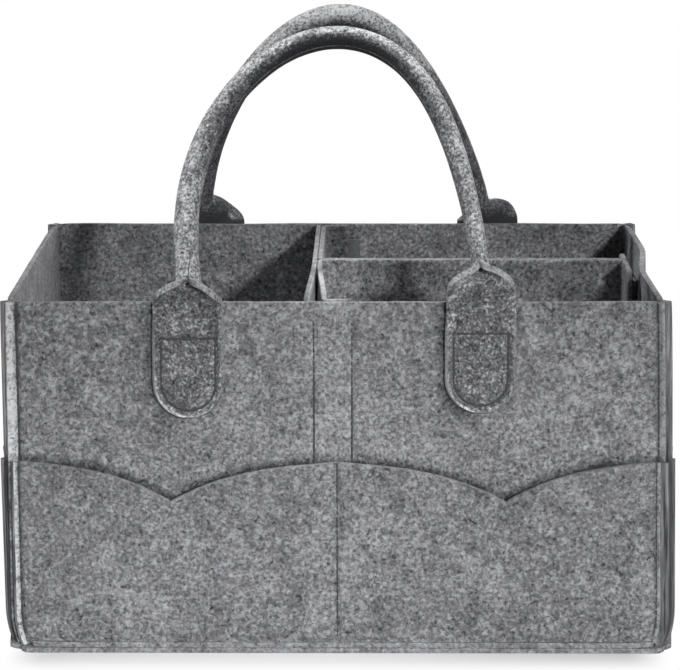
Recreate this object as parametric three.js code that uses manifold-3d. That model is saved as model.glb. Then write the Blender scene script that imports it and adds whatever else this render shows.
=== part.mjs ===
// Felt nursery caddy: an open box of sewn felt panels with pockets round the outside, two rolled
// felt handles over rope cores, and a T-shaped divider insert held by hook-and-loop tape.
// Millimetres, +Z up, front toward -Y, origin under the middle of the base.
import * as THREE from 'three';
import { mergeVertices } from 'three/addons/utils/BufferGeometryUtils.js';
import Module from 'manifold-3d';

const wasm = await Module();
wasm.setup();

// Box
const boxWidth = 324; // between the outer faces of the left and right panels
const boxDepth = 222; // between the outer faces of the front and back panels
const wallHeight = 181; // rim above the surface that the caddy stands on
const felt = 3; // thickness of the panels, pockets, base and handle straps
const seamAllowance = 7; // raw edges of a corner fin, from the inner corner outward
const seat = 0.3; // gap between pieces that are sewn or laid together

// Pockets
const pocketHeight = 99.5; // top edge above the surface
const pocketGap = 1.1; // slack between a wall and the pocket in front of it
const notchDepth = 19.5; // V in the middle of each pocket's top edge
const notchSteepness = 0.4; // share of a scallop's length where its end tangents meet
const toe = 1.5; // how far a pocket's foot and the base stand out past the pocket
const baseCorner = 10; // corner radius of the base

// Handles
const tabWidth = 34.4;
const tabDrop = 58.4; // lowest point of a tab below the rim
const tabRise = 1; // flat part of a tab above the rim
const hingeRise = 6; // bending line of the necks above the rim
const sleeveStart = 9; // where the rolled sleeve begins, past the bending line
const sleeveDiameter = 12.4;
const coreDiameter = 6;
const handleRise = 133; // bending line to the middle of the grip, along the handle
const handleLean = 26.5; // degrees inward at rest
// Span between the feet of the legs, how much the legs draw in toward the grip, sideways sway halfway up,
// and how far right of its leg each tab is sewn.
const handles = {
  front: { span: 145, taper: -0.09, sway: -4.7, tabShift: { left: -1.6, right: -0.8 } },
  back: { span: 160, taper: 0.2, sway: -2.8, tabShift: { left: 7, right: 3 } },
};

// Thread
const threadWidth = 0.9;
const threadThickness = 0.5;
const tabStitchInset = 3.6; // stitching from the edge of a tab
const tabStitchDrop = 18; // flat top of the stitching below the rim
const seamEndInset = 2; // thread ends short of the edge it runs to

// Hook-and-loop tape
const tapeThickness = 1.2;
const loopTapeWidth = 25;
const hookTapeWidth = 10;
const tapeLength = 140;
const tapeTopDrop = 9; // top end of a tape below the rim
const tapeSeamInset = 3; // thread from the long edge of a loop tape
const frontTapeX = -2; // middle of the front and back loop tapes

// Divider insert
const dividerFelt = 2.5;
const dividerX = -11.8; // seam between the straight strip and the two bent strips
const crossY = 3; // seam between the two bent strips
const flangeWidth = 14; // turned ends on the front and back walls, with hook tape along their edges
const sideFlangeWidth = 32; // turned ends on the right wall, past the hook tape
const sideHookReach = 14; // far edge of the hook tape from the bend on the right wall
const leftFlare = 2.2; // front end of the straight strip springs away from the seam
const rightFlare = 4.2; // front end of the front strip does the same

const feltGrey = 0x6d6e71;
const sleeveGrey = 0x77787b;
const dividerGrey = 0x67686b;
const tapeGrey = 0x4c4d50;
const threadGrey = 0x3a3b3e;
const ropeCream = 0xcfc8b8;

const caddy = new THREE.Group();

function addPiece(parent, name, geometry, color, roughness = 0.95) {
  const mesh = new THREE.Mesh(geometry, new THREE.MeshStandardMaterial({ color, roughness, metalness: 0 }));
  mesh.name = name;
  parent.add(mesh);
}

// Solids for joining and cutting
function solidOf(geometry) {
  const bare = geometry.clone();
  bare.deleteAttribute('normal');
  bare.deleteAttribute('uv');
  const merged = mergeVertices(bare);
  return new wasm.Manifold(new wasm.Mesh({
    numProp: 3,
    vertProperties: new Float32Array(merged.attributes.position.array),
    triVerts: new Uint32Array(merged.index.array),
  }));
}

function geometryOf(solid) {
  const mesh = solid.getMesh();
  const geometry = new THREE.BufferGeometry();
  geometry.setAttribute('position', new THREE.BufferAttribute(mesh.vertProperties, 3));
  geometry.setIndex(new THREE.BufferAttribute(mesh.triVerts, 1));
  geometry.computeVertexNormals();
  return geometry;
}

// A strip of felt standing on edge: a plan path given thickness, with mitred bends.
function ribbonShape(path, thickness) {
  const normals = [];
  for (let i = 0; i + 1 < path.length; i += 1) {
    const along = path[i + 1].clone().sub(path[i]).normalize();
    normals.push(new THREE.Vector2(-along.y, along.x));
  }
  const rims = [[], []];
  path.forEach((point, i) => {
    const before = normals[Math.max(i - 1, 0)];
    const after = normals[Math.min(i, normals.length - 1)];
    const miter = before.clone().add(after).divideScalar(1 + before.dot(after));
    rims[0].push(point.clone().addScaledVector(miter, thickness / 2));
    rims[1].unshift(point.clone().addScaledVector(miter, -thickness / 2));
  });
  return new THREE.Shape([...rims[0], ...rims[1]]);
}

function upright(shape, bottom, top) {
  const geometry = new THREE.ExtrudeGeometry(shape, { depth: top - bottom, bevelEnabled: false });
  return geometry.translate(0, 0, bottom);
}

// A shape drawn on a wall, across and up, given thickness outward from a distance in front of the middle.
function onWall(shape, distance, thickness) {
  const geometry = new THREE.ExtrudeGeometry(shape, { depth: thickness, bevelEnabled: false, curveSegments: 10 });
  return geometry.rotateX(Math.PI / 2).translate(0, -distance, 0);
}

function boxBetween(low, high) {
  const size = high.map((value, i) => value - low[i]);
  const middle = high.map((value, i) => (value + low[i]) / 2);
  return new THREE.BoxGeometry(...size).translate(...middle);
}

// Base: a flat panel whose edge is sewn to the pockets' feet.
const edgeReach = pocketGap + felt + toe;
const baseShape = new THREE.Shape();
const baseHalfX = boxWidth / 2 + edgeReach;
const baseHalfY = boxDepth / 2 + edgeReach;
baseShape.moveTo(-baseHalfX + baseCorner, -baseHalfY);
for (let corner = 0; corner < 4; corner += 1) {
  const x = (baseHalfX - baseCorner) * [1, 1, -1, -1][corner];
  const y = (baseHalfY - baseCorner) * [-1, 1, 1, -1][corner];
  const start = (corner - 1) * Math.PI / 2;
  baseShape.absarc(x, y, baseCorner, start, start + Math.PI / 2, false);
}
const basePanel = new THREE.ExtrudeGeometry(baseShape, { depth: felt, bevelEnabled: false, curveSegments: 6 });
addPiece(caddy, 'base_panel', basePanel, feltGrey);

// Walls: each side is built as the front and turned into place.
const sides = {
  front: { turn: 0, length: boxWidth, reach: boxDepth / 2, pockets: 2 },
  right: { turn: 1, length: boxDepth, reach: boxWidth / 2, pockets: 1 },
  back: { turn: 2, length: boxWidth, reach: boxDepth / 2, pockets: 2 },
  left: { turn: 3, length: boxDepth, reach: boxWidth / 2, pockets: 1 },
};
const floorTop = felt + seat;

// Plan path of one layer of a wall: flat, with both ends turned 45 degrees outward into the corner fins.
// The offsets are from the inner face of the panel to the middle of the layer, on the flat and on the fins.
function layerPath(side, flatOffset, finOffset) {
  const cornerX = side.length / 2 - felt - seat / Math.SQRT2;
  const cornerY = felt - side.reach;
  const tipX = cornerX + (seamAllowance - finOffset) / Math.SQRT2;
  const tipY = cornerY - (seamAllowance + finOffset) / Math.SQRT2;
  const bendY = cornerY - flatOffset;
  const bendX = tipX - (bendY - tipY);
  const half = [new THREE.Vector2(bendX, bendY), new THREE.Vector2(tipX, tipY)];
  const mirrored = half.map((point) => new THREE.Vector2(-point.x, point.y)).reverse();
  return [...mirrored, ...half];
}

// The piece cut out of a pocket's top edge: two arcs that fall to a point.
function notchCutter(start, middle, end, reach) {
  const shape = new THREE.Shape();
  const startBend = middle + (start - middle) * notchSteepness;
  const endBend = middle + (end - middle) * notchSteepness;
  shape.moveTo(start, pocketHeight);
  shape.quadraticCurveTo(startBend, pocketHeight, middle, pocketHeight - notchDepth);
  shape.quadraticCurveTo(endBend, pocketHeight, end, pocketHeight);
  shape.lineTo(end, pocketHeight + felt);
  shape.lineTo(start, pocketHeight + felt);
  return solidOf(onWall(shape, reach, pocketGap + 2 * felt));
}

function pocketGeometry(side) {
  const path = layerPath(side, felt + pocketGap + felt / 2, felt + seat + felt / 2);
  const bendX = path[2].x;
  const outerFace = side.reach + pocketGap + felt;
  const wall = solidOf(upright(ribbonShape(path, felt), floorTop, pocketHeight));
  const footLow = [-bendX + felt, -outerFace - toe, floorTop];
  const footHigh = [bendX - felt, -outerFace + felt / 2, floorTop + felt];
  let pocket = wall.add(solidOf(boxBetween(footLow, footHigh)));
  const width = 2 * (bendX - felt) / side.pockets;
  for (let i = 0; i < side.pockets; i += 1) {
    const start = felt - bendX + i * width;
    const middle = (2 * i + 1 - side.pockets) * (side.length / 2 + edgeReach) / side.pockets;
    pocket = pocket.subtract(notchCutter(start, middle, start + width, side.reach));
  }
  return geometryOf(pocket);
}

const sideGroups = {};
for (const [name, side] of Object.entries(sides)) {
  const group = new THREE.Group();
  group.rotation.z = side.turn * Math.PI / 2;
  caddy.add(group);
  sideGroups[name] = group;
  const panel = ribbonShape(layerPath(side, felt / 2, felt / 2), felt);
  addPiece(group, `${name}_panel`, upright(panel, floorTop, wallHeight), feltGrey);
  addPiece(group, `${name}_pocket`, pocketGeometry(side), feltGrey);
  if (side.pockets > 1) {
    const face = side.reach + pocketGap + felt + seat;
    const low = [-threadWidth / 2, -face - threadThickness, floorTop + felt + seamEndInset];
    const high = [threadWidth / 2, -face, pocketHeight - seamEndInset];
    addPiece(group, `${name}_pocket_seam`, boxBetween(low, high), threadGrey);
  }
}

// Loop tapes inside three walls, with the two lines of thread that show outside.
const tapeTop = wallHeight - tapeTopDrop;
const tapeBottom = tapeTop - tapeLength;
const loopTapes = {
  front: { middle: frontTapeX, seams: ['left', 'right'] },
  right: { middle: crossY, seams: ['front', 'back'] },
  back: { middle: -frontTapeX, seams: ['right', 'left'] },
};
for (const [name, tape] of Object.entries(loopTapes)) {
  const innerFace = sides[name].reach - felt - seat;
  const low = [tape.middle - loopTapeWidth / 2, -innerFace, tapeBottom];
  const high = [tape.middle + loopTapeWidth / 2, tapeThickness - innerFace, tapeTop];
  addPiece(sideGroups[name], `${name}_loop_tape`, boxBetween(low, high), tapeGrey);
  tape.seams.forEach((seam, i) => {
    const x = tape.middle + (2 * i - 1) * (loopTapeWidth / 2 - tapeSeamInset);
    const outerFace = sides[name].reach + seat;
    const threadLow = [x - threadWidth / 2, -outerFace - threadThickness, tapeBottom + seamEndInset];
    const threadHigh = [x + threadWidth / 2, -outerFace, tapeTop - seamEndInset];
    addPiece(sideGroups[name], `${name}_tape_${seam}_seam`, boxBetween(threadLow, threadHigh), threadGrey);
  });
}

// Handles: sewn tabs, necks that bend, and a rolled sleeve over a rope core.
const sleeveRadius = sleeveDiameter / 2;
const coreRadius = coreDiameter / 2;
const leanSine = Math.sin(THREE.MathUtils.degToRad(handleLean));
const leanCosine = Math.cos(THREE.MathUtils.degToRad(handleLean));
const archSteps = 34;

// Middle line of a handle past its necks: half an ellipse, drawn in with height, in a plane that leans inward.
class HandleArch extends THREE.Curve {
  constructor(handle, footY, swaySign) {
    super();
    Object.assign(this, handle, { footY, swaySign });
  }

  getPoint(t, target = new THREE.Vector3()) {
    const startAngle = Math.asin(sleeveStart / handleRise);
    const angle = startAngle + t * (Math.PI - 2 * startAngle);
    const height = Math.sin(angle);
    const halfWidth = this.span / 2 * (1 - this.taper * height);
    const sway = this.swaySign * this.sway * Math.sin(Math.PI * height);
    const along = height * handleRise;
    const x = sway - halfWidth * Math.cos(angle);
    return target.set(x, this.footY + along * leanSine, wallHeight + hingeRise + along * leanCosine);
  }
}

function circle(radius, Kind = THREE.Shape) {
  return new Kind().absarc(0, 0, radius, 0, 2 * Math.PI, false);
}

function sweep(shape, arch, halfTurnSides) {
  const options = { steps: archSteps, extrudePath: arch, bevelEnabled: false, curveSegments: halfTurnSides };
  return new THREE.ExtrudeGeometry(shape, options);
}

// A tab's outline, or that of the stitching inset in it: straight sides, round bottom.
function shieldShape(Kind, x, inset, top) {
  const radius = tabWidth / 2 - inset;
  const middle = wallHeight - tabDrop + tabWidth / 2;
  const outline = new Kind();
  outline.moveTo(x + radius, top);
  outline.lineTo(x - radius, top);
  outline.absarc(x, middle, radius, Math.PI, 2 * Math.PI, false);
  outline.closePath();
  return outline;
}

function stitchShape(x) {
  const stitchTop = wallHeight - tabStitchDrop;
  const shape = shieldShape(THREE.Shape, x, tabStitchInset, stitchTop);
  shape.holes.push(shieldShape(THREE.Path, x, tabStitchInset + threadWidth, stitchTop - threadWidth));
  return shape;
}

// A neck: from the flat section of a tab to the round section of the sleeve.
const neckRings = 6;
const neckSides = 24;
const flatSquareness = 8; // section exponent where the neck is flat, 2 where it is round

function neckGeometry(start, end, endTangent) {
  const reach = start.distanceTo(end) / 3;
  const up = new THREE.Vector3(0, 0, 1);
  const line = new THREE.CubicBezierCurve3(
    start,
    start.clone().addScaledVector(up, reach),
    end.clone().addScaledVector(endTangent, -reach),
    end,
  );
  const positions = [];
  for (let ring = 0; ring < neckRings; ring += 1) {
    const t = ring / (neckRings - 1);
    const ease = THREE.MathUtils.smoothstep(t, 0, 1);
    const point = line.getPoint(t);
    const tangent = line.getTangent(t);
    const slant = endTangent.x * ease; // level at the tab, square to the sleeve at the top
    const across = new THREE.Vector3(1, 0, 0).addScaledVector(tangent, -slant).normalize();
    const through = tangent.clone().cross(across);
    const halfWidth = THREE.MathUtils.lerp(tabWidth / 2, sleeveRadius, ease);
    const halfDepth = THREE.MathUtils.lerp(felt / 2, sleeveRadius, ease);
    const power = 2 / THREE.MathUtils.lerp(flatSquareness, 2, ease);
    for (let i = 0; i < neckSides; i += 1) {
      const angle = 2 * Math.PI * (i + 0.5) / neckSides;
      const c = Math.cos(angle);
      const s = Math.sin(angle);
      const vertex = point.clone();
      vertex.addScaledVector(across, halfWidth * Math.sign(c) * Math.abs(c) ** power);
      vertex.addScaledVector(through, halfDepth * Math.sign(s) * Math.abs(s) ** power);
      positions.push(vertex.x, vertex.y, vertex.z);
    }
  }
  positions.push(...start.toArray(), ...end.toArray());
  const bottomMiddle = neckRings * neckSides;
  const topMiddle = bottomMiddle + 1;
  const lastRing = (neckRings - 1) * neckSides;
  const index = [];
  for (let i = 0; i < neckSides; i += 1) {
    const next = (i + 1) % neckSides;
    index.push(bottomMiddle, next, i);
    index.push(topMiddle, lastRing + i, lastRing + next);
    for (let ring = 0; ring + 1 < neckRings; ring += 1) {
      const low = ring * neckSides;
      const high = low + neckSides;
      index.push(low + i, low + next, high + next);
      index.push(low + i, high + next, high + i);
    }
  }
  const geometry = new THREE.BufferGeometry();
  geometry.setAttribute('position', new THREE.Float32BufferAttribute(positions, 3));
  geometry.setIndex(index);
  geometry.computeVertexNormals();
  return geometry;
}

for (const [name, handle] of Object.entries(handles)) {
  const group = sideGroups[name];
  const facing = name === 'front' ? 1 : -1; // the back is turned half round, so its left is the caddy's right
  const tabFace = sides[name].reach + seat;
  const arch = new HandleArch(handle, -tabFace - felt / 2, facing);
  const sleeve = circle(sleeveRadius);
  sleeve.holes.push(circle(coreRadius + seat, THREE.Path));
  addPiece(group, `${name}_handle_sleeve`, sweep(sleeve, arch, 7), sleeveGrey);
  addPiece(group, `${name}_handle_core`, sweep(circle(coreRadius), arch, 4), ropeCream);
  for (const end of [0, 1]) {
    const hand = (end === 0) === (facing === 1) ? 'left' : 'right';
    const prefix = `${name}_handle_${hand}`;
    const tangent = arch.getTangent(end).multiplyScalar(1 - 2 * end);
    const top = arch.getPoint(end).addScaledVector(tangent, -seat);
    const x = (end - 0.5) * handle.span + facing * handle.tabShift[hand];
    const tabTop = wallHeight + tabRise;
    const foot = new THREE.Vector3(x, -tabFace - felt / 2, tabTop + seat);
    addPiece(group, `${prefix}_tab`, onWall(shieldShape(THREE.Shape, x, 0, tabTop), tabFace, felt), feltGrey);
    addPiece(group, `${prefix}_neck`, neckGeometry(foot, top, tangent), feltGrey);
    const stitchFace = tabFace + felt + seat;
    addPiece(group, `${prefix}_stitching`, onWall(stitchShape(x), stitchFace, threadThickness), threadGrey);
  }
}

// Divider insert: one straight strip and two bent ones, sewn back to back into a T.
const insert = new THREE.Group();
caddy.add(insert);
const halfFelt = dividerFelt / 2;
const tapeStack = 3 * seat + 2 * tapeThickness; // from a wall to the flange in front of it
const flangeReachX = boxWidth / 2 - felt - tapeStack - halfFelt;
const flangeReachY = boxDepth / 2 - felt - tapeStack - halfFelt;
const stripEndY = boxDepth / 2 - felt - tapeThickness - 2 * seat;
const rightLayerX = dividerX + seat / 2 + halfFelt;

const straightX = dividerX - seat / 2 - halfFelt;
const flareLine = new THREE.QuadraticBezierCurve(
  new THREE.Vector2(straightX, 0),
  new THREE.Vector2(straightX, -stripEndY / 2),
  new THREE.Vector2(straightX - leftFlare, -stripEndY),
);
const straightPath = [new THREE.Vector2(straightX, stripEndY), ...flareLine.getPoints(8)];
const straightStrip = upright(ribbonShape(straightPath, dividerFelt), floorTop, wallHeight);
addPiece(insert, 'divider_straight_strip', straightStrip, dividerGrey);

// A bent strip, from its flange on the right wall round to its flange on the front (-1) or back (1) wall.
function bentPath(toward, endShift) {
  const crossLine = crossY + toward * (seat / 2 + halfFelt);
  const endX = rightLayerX + endShift;
  return [
    new THREE.Vector2(flangeReachX, crossLine + toward * sideFlangeWidth),
    new THREE.Vector2(flangeReachX, crossLine),
    new THREE.Vector2(rightLayerX, crossLine),
    new THREE.Vector2(endX, toward * flangeReachY),
    new THREE.Vector2(endX + flangeWidth, toward * flangeReachY),
  ];
}

const strips = {
  front: { toward: -1, endShift: rightFlare },
  back: { toward: 1, endShift: 0 },
};
for (const [name, strip] of Object.entries(strips)) {
  const path = bentPath(strip.toward, strip.endShift);
  const bent = upright(ribbonShape(path, dividerFelt), floorTop, wallHeight);
  addPiece(insert, `divider_${name}_strip`, bent, dividerGrey);

  const hookInset = halfFelt + seat; // from a flange's middle to the back of its tape
  const wallNear = strip.toward * (flangeReachY + hookInset);
  const wallFar = strip.toward * (flangeReachY + hookInset + tapeThickness);
  const endX = path[4].x;
  const wallLow = [endX - hookTapeWidth, Math.min(wallNear, wallFar), tapeBottom];
  const wallHigh = [endX, Math.max(wallNear, wallFar), tapeTop];
  addPiece(insert, `divider_${name}_hook_tape`, boxBetween(wallLow, wallHigh), tapeGrey);

  const farY = path[1].y + strip.toward * sideHookReach;
  const nearY = farY - strip.toward * hookTapeWidth;
  const sideLow = [flangeReachX + hookInset, Math.min(farY, nearY), tapeBottom];
  const sideHigh = [flangeReachX + hookInset + tapeThickness, Math.max(farY, nearY), tapeTop];
  addPiece(insert, `divider_right_${name}_hook_tape`, boxBetween(sideLow, sideHigh), tapeGrey);
}

export default caddy;
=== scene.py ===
import math

import bpy
import numpy as np
from mathutils import Matrix, Vector, noise


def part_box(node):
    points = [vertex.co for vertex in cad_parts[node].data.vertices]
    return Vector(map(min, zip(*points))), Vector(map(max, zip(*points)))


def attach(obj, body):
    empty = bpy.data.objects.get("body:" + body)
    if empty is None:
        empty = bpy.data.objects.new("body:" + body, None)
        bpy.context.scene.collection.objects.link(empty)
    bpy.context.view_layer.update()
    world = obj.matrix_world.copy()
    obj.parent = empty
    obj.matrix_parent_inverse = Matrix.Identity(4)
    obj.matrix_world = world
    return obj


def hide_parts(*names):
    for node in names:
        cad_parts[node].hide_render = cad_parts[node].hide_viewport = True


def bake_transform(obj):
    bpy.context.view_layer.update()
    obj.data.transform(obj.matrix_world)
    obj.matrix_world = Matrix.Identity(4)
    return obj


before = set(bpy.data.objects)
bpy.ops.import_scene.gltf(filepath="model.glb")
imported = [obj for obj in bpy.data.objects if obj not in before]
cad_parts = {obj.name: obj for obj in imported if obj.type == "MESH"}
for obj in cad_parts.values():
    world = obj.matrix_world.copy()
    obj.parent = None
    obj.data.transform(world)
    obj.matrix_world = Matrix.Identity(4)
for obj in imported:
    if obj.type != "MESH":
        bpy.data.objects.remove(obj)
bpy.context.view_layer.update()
mm = 0.001
print("frame loaded with", len(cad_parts), "nodes")


# Camera

cameraView = {
    "place": (20.1, -1522.2, 474.4),  # mm
    "tilt": 12.39,  # degrees down
    "yaw": 0.75,
    "roll": -0.14,
    "focal": 2903,  # pixels
    "imageWidth": 680,
}


def placeCamera():
    lens = bpy.data.cameras.new("photo_camera")
    lens.sensor_fit = "HORIZONTAL"
    lens.lens = cameraView["focal"] * lens.sensor_width / cameraView["imageWidth"]
    camera = bpy.data.objects.new("photo_camera", lens)
    bpy.context.scene.collection.objects.link(camera)
    turn = Matrix.Rotation(math.radians(cameraView["yaw"]), 4, "Z")
    turn = turn @ Matrix.Rotation(math.radians(90 - cameraView["tilt"]), 4, "X")
    turn = turn @ Matrix.Rotation(math.radians(cameraView["roll"]), 4, "Z")
    camera.matrix_world = Matrix.Translation(Vector(cameraView["place"]) * mm) @ turn
    bpy.context.scene.camera = camera


placeCamera()
print("camera placed")


# Node trees: a wire is one output socket, and arithmetic on wires adds math nodes

class Wire:
    def __init__(self, board, socket):
        self.board = board
        self.socket = socket

    def __add__(self, other):
        return self.board.maths("ADD", self, other)

    def __sub__(self, other):
        return self.board.maths("SUBTRACT", self, other)

    def __rsub__(self, other):
        return self.board.maths("SUBTRACT", other, self)

    def __mul__(self, other):
        return self.board.maths("MULTIPLY", self, other)

    def __abs__(self):
        return self.board.maths("ABSOLUTE", self)

    __radd__ = __add__
    __rmul__ = __mul__


class Board:
    def __init__(self, tree):
        self.tree = tree

    def node(self, kind, settings=None, values=None, output=0):
        made = self.tree.nodes.new(kind)
        for key, value in (settings or {}).items():
            if key == "stops":
                self.setStops(made.color_ramp, value)
            else:
                setattr(made, key, value)
        for key, value in (values or {}).items():
            if isinstance(value, Wire):
                self.tree.links.new(value.socket, made.inputs[key])
            else:
                made.inputs[key].default_value = value
        return Wire(self, made.outputs[output]) if made.outputs else made

    def setStops(self, ramp, stops):
        while len(ramp.elements) < len(stops):
            ramp.elements.new(1.0)
        for element, (place, color) in zip(ramp.elements, stops):
            element.position = place
            element.color = (*color, 1.0)

    def maths(self, operation, *values):
        return self.node("ShaderNodeMath", {"operation": operation}, dict(enumerate(values)))

    def noise(self, place, size, detail, roughness=0.6, distortion=0.0, shift=(0, 0, 0)):
        moved = self.node("ShaderNodeVectorMath", {"operation": "ADD"}, {0: place, 1: shift})
        sockets = {"Vector": moved, "Scale": 1 / (size * mm), "Detail": detail}
        sockets.update({"Roughness": roughness, "Distortion": distortion})
        return self.node("ShaderNodeTexNoise", {"noise_dimensions": "3D"}, sockets)

    def fade(self, value, start, end):  # 1 at start, 0 at end
        sockets = {"Value": value, "From Min": start, "From Max": end, "To Min": 1.0, "To Max": 0.0}
        return self.node("ShaderNodeMapRange", {"interpolation_type": "SMOOTHSTEP"}, sockets)


def newMaterial(name):
    material = bpy.data.materials.new(name)
    material.use_nodes = True
    material.node_tree.nodes.clear()
    return material, Board(material.node_tree)


def finishSurface(board, color, roughness, height, bumpDepth, constants):
    bump = board.node("ShaderNodeBump", None, {"Height": height, "Distance": bumpDepth * mm, "Strength": 1.0})
    sockets = {"Base Color": color, "Roughness": roughness, "Normal": bump, **constants}
    surface = board.node("ShaderNodeBsdfPrincipled", None, sockets)
    board.node("ShaderNodeOutputMaterial", None, {"Surface": surface})


# Heathered felt: grey fleece with curly light and dark fibres

feltLook = {
    "dark": (0.031, 0.032, 0.035),
    "middle": (0.188, 0.190, 0.200),
    "pale": (0.490, 0.494, 0.513),
    "fluff": (0.760, 0.764, 0.780),  # pale of a brushed edge
    "streak": 0.06,  # length of a grain across the sheet over its length along a cut edge
    "fibreWidth": 0.05,  # of the noise range
    "fleckRange": (0.28, 0.47),
    "fleckShare": 0.06,  # tone that makes up for the dark flecks
    "bump": 0.5,  # mm
}
feltGrains = {  # mm across, then detail, roughness, distortion and shift of the noise
    "speck": (2.0, 3, 0.55, 0.5),
    "clump": (4.6, 2, 0.6, 0.3, (1.7, 0.3, 0.9)),
    "blotch": (11.0, 2, 0.5, 0.0, (2.9, 1.1, 0.7)),
    "cloud": (38.0, 2, 0.5, 0.0, (0.2, 2.1, 1.3)),
    "paleFibre": (3.4, 1, 0.5, 1.2, (3.1, 1.9, 0.4)),
    "darkFibre": (2.72, 1, 0.5, 1.2, (0.6, 4.2, 2.7)),
    "fleck": (1.7, 2, 0.5, 0.4, (4.4, 0.8, 3.3)),
}
feltWeights = {"speck": 1.5, "clump": 0.55, "blotch": 0.5, "cloud": 0.3, "fibre": 0.12, "fleck": 0.36}


def feltMaterial(name, lift=0.0, contrast=1.0, streaked=False, pale="pale", fine=1.0):
    material, board = newMaterial(name)
    look, weights = feltLook, feltWeights
    place = board.node("ShaderNodeTexCoord", None, None, "Object")
    stretch = (1 / fine, 1 / fine, look["streak"] if streaked else 1 / fine)
    place = board.node("ShaderNodeMapping", None, {"Vector": place, "Scale": stretch})
    grains = {kind: board.noise(place, *pattern) for kind, pattern in feltGrains.items()}
    paleFibre, darkFibre = (
        board.fade(abs(grains[kind] - 0.5), 0.0, look["fibreWidth"]) for kind in ("paleFibre", "darkFibre"))
    fleck = board.fade(grains["fleck"], *look["fleckRange"])
    grain = (paleFibre - darkFibre) * weights["fibre"] + (look["fleckShare"] - fleck * weights["fleck"])
    for kind in ("speck", "clump", "blotch"):
        grain = grain + (grains[kind] - 0.5) * weights[kind]
    paintedShadeAndTone = board.node("ShaderNodeAttribute", {"attribute_name": "toneShift"}, None, "Fac")
    tone = grain * contrast + (grains["cloud"] - 0.5) * weights["cloud"] + (0.5 + lift) + paintedShadeAndTone
    stops = [(0.0, look["dark"]), (0.5, look["middle"]), (1.0, look[pale])]
    color = board.node("ShaderNodeValToRGB", {"stops": stops}, {"Fac": tone}, "Color")
    height = grains["speck"] * 0.6 + paleFibre * 0.3 - darkFibre * 0.2
    finishSurface(board, color, 0.95, height, look["bump"], {
        "Specular IOR Level": 0.25, "Sheen Weight": 0.12, "Sheen Roughness": 0.6,
    })
    return material


threadLook = {"dark": (0.030, 0.031, 0.034), "pale": (0.075, 0.077, 0.083), "stops": (0.3, 0.7),
              "grain": (0.8, 2), "roughness": 0.6, "bump": 0.08, "shine": 0.3}
tapeLook = {"dark": (0.085, 0.086, 0.092), "pale": (0.210, 0.213, 0.224), "stops": (0.3, 0.75),
            "grain": (0.9, 3, 0.6, 0.8), "roughness": 0.8, "bump": 0.3, "shine": 0.3}
ropeLook = {"dark": (0.42, 0.38, 0.30), "pale": (0.72, 0.68, 0.58), "stops": (0.3, 0.7),
            "grain": (2.4, 3, 0.6, 0.5), "roughness": 0.9, "bump": 0.4, "shine": 0.2}


def twoToneMaterial(name, look):  # yarn or pile, dark where the grain is low and pale where it is high
    material, board = newMaterial(name)
    place = board.node("ShaderNodeTexCoord", None, None, "Object")
    grain = board.noise(place, *look["grain"])
    stops = list(zip(look["stops"], (look["dark"], look["pale"])))
    color = board.node("ShaderNodeValToRGB", {"stops": stops}, {"Fac": grain}, "Color")
    finishSurface(board, color, look["roughness"], grain, look["bump"], {"Specular IOR Level": look["shine"]})
    return material


felt = feltMaterial("heather_felt")
# cut edges and rims: paler than the faces, partly as painted light
feltEdge = feltMaterial("felt_cut_edge", 0.13, 0.8)
# raw edges past the left seams are paler than those past the right ones as painted light
finFelt = feltMaterial("fluffed_and_lit_felt", 0.37, 0.9, pale="fluff")
sideFelt = feltMaterial("side_felt", 0.34, 0.9)
# the stacked raw edges are streaked, and darker than the felt as painted shade
stackFelt = feltMaterial("stacked_felt_edges", -0.11, 1.0, True)
handleFelt = feltMaterial("handle_felt", -0.03, 1.16, pale="fluff", fine=0.74)
handleEdge = feltMaterial("handle_cut_edge", 0.17, 1.3, fine=0.62)
# the divider's felt and cut edge are darker than the walls' as painted shade inside the box
dividerFelt = feltMaterial("divider_felt", -0.07)
dividerEdge = feltMaterial("divider_cut_edge", -0.08, 0.8)
thread = twoToneMaterial("grey_thread", threadLook)
tape = twoToneMaterial("grey_pile_tape", tapeLook)
rope = twoToneMaterial("cotton_rope", ropeLook)
print("materials made")


# Sizes read off the frame, mm

def boxOf(node):
    low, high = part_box(node)
    return np.array(low) / mm, np.array(high) / mm


seat = 0.3  # gap that the frame leaves between sewn pieces
panelFelt = 3.0
rim = boxOf("front_panel")[1][2]
floorTop = boxOf("front_panel")[0][2]
pocketTop = boxOf("front_pocket")[1][2]
frontFace = -boxOf("front_tape_left_seam")[1][1] - seat  # outer face of the front panel from the middle
sideFace = boxOf("right_tape_front_seam")[0][0] - seat
pocketFace = -boxOf("front_pocket_seam")[1][1] - seat
pocketSlack = pocketFace - panelFelt - frontFace
baseReach = boxOf("base_panel")[1][:2]


# Mesh helpers: points are in mm until they become a mesh

finish = {
    "edgeRound": 0.5,  # mm
    "edgeSegments": 2,
    "edgeAngle": 55,  # degrees past which an edge is rounded
    "sharpAngle": 38,  # past which shading breaks
    "cordSharpAngle": 60,
}


def meshObject(name, points, faces, materials, edges=()):
    mesh = bpy.data.meshes.new(name)
    mesh.from_pydata((np.asarray(points) * mm).tolist(), list(edges), faces)
    for material in materials:
        mesh.materials.append(material)
    piece = bpy.data.objects.new(name, mesh)
    bpy.context.scene.collection.objects.link(piece)
    return piece


def bake(piece):
    bpy.context.view_layer.update()
    evaluated = piece.evaluated_get(bpy.context.evaluated_depsgraph_get())
    baked = bpy.data.meshes.new_from_object(evaluated)
    piece.modifiers.clear()
    piece.vertex_groups.clear()
    old = piece.data
    piece.data = baked
    bpy.data.meshes.remove(old)


def smooth(piece, angle=finish["sharpAngle"]):
    piece.data.shade_smooth()
    piece.data.set_sharp_from_angle(angle=math.radians(angle))


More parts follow.
